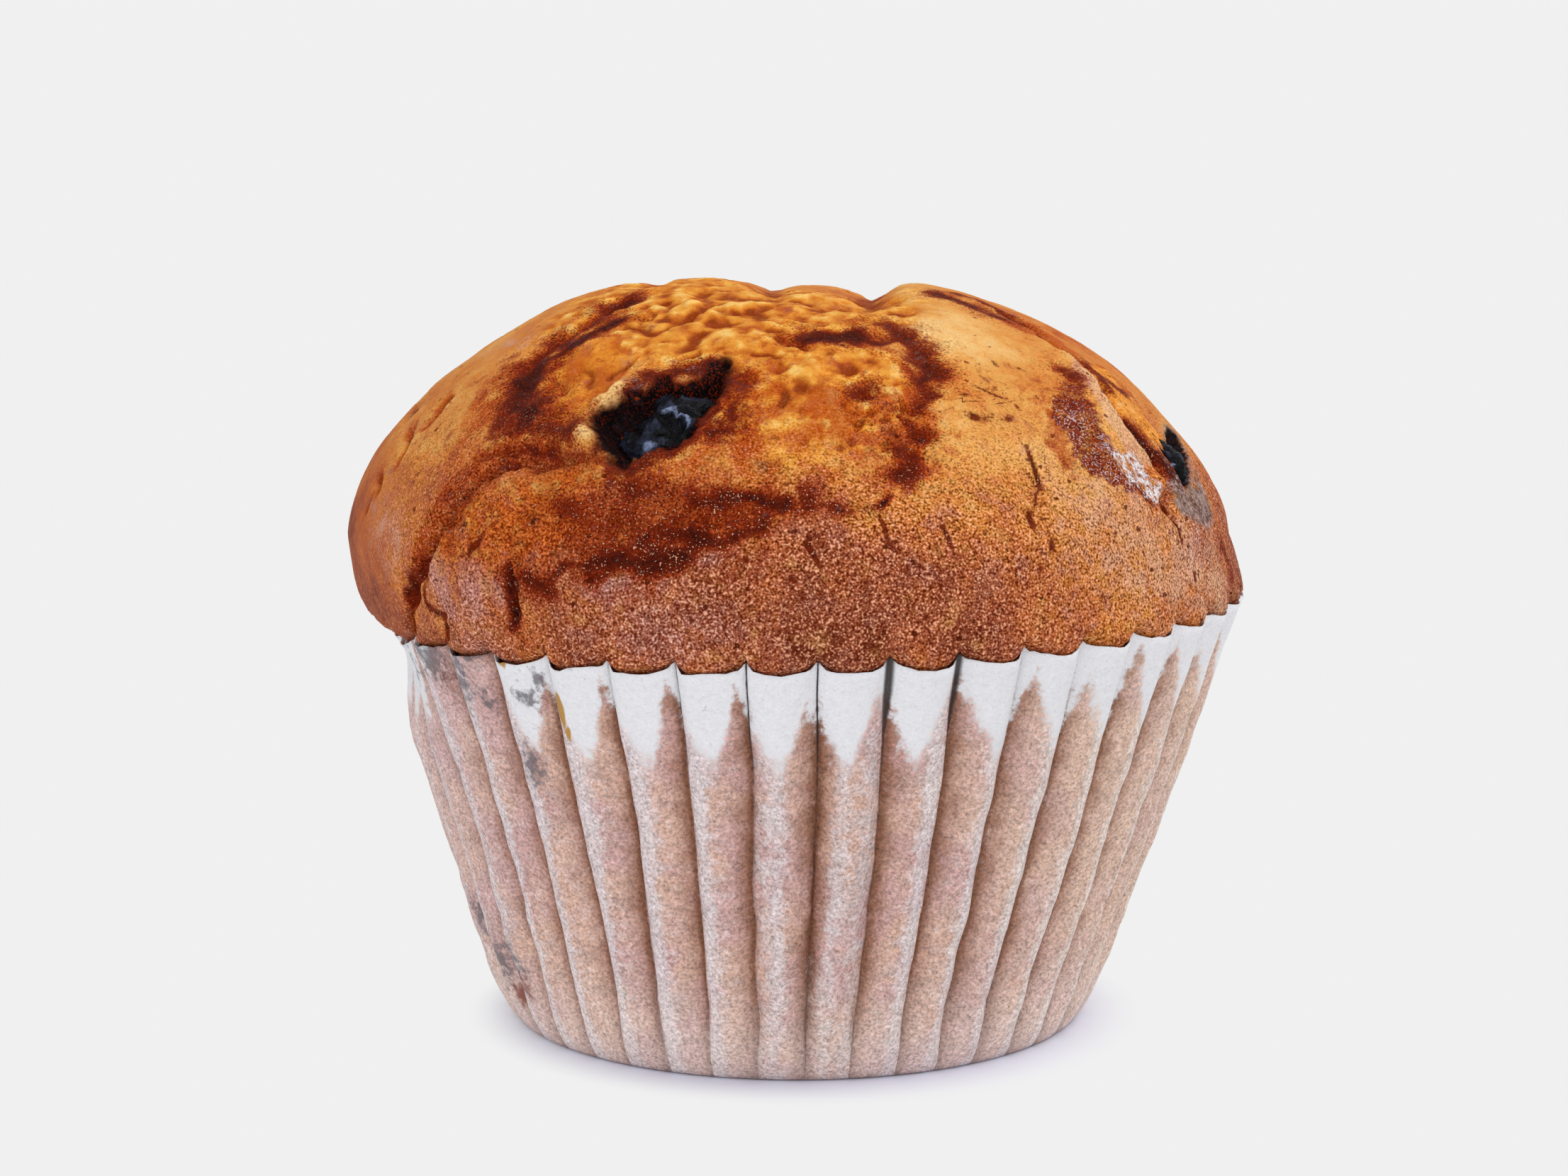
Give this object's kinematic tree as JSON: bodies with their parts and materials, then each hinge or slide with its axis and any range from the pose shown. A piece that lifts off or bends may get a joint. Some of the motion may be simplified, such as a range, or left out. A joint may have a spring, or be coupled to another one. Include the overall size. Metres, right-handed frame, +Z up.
{
  "type": "muffin",
  "caption": "Domed berry muffin with a torn golden crown, standing in a pleated paper baking case with a scalloped rim.",
  "frame": {"origin": "on the table under the middle of the muffin's outline", "axes": "+Z up; -Y is the side with the front berry; +X to the right of someone who looks at that side"},
  "size_m": [0.0798, 0.0784, 0.066],
  "materials": {
    "crust": null,
    "paper": "greaseproof baking paper, white at the rim and browned by the cake below",
    "berry": null
  },
  "bodies": {
    "root": {"muffin": "crust", "paper_case": "paper", "berry_front": "berry", "berry_side": "berry"}
  },
  "joints": []
}
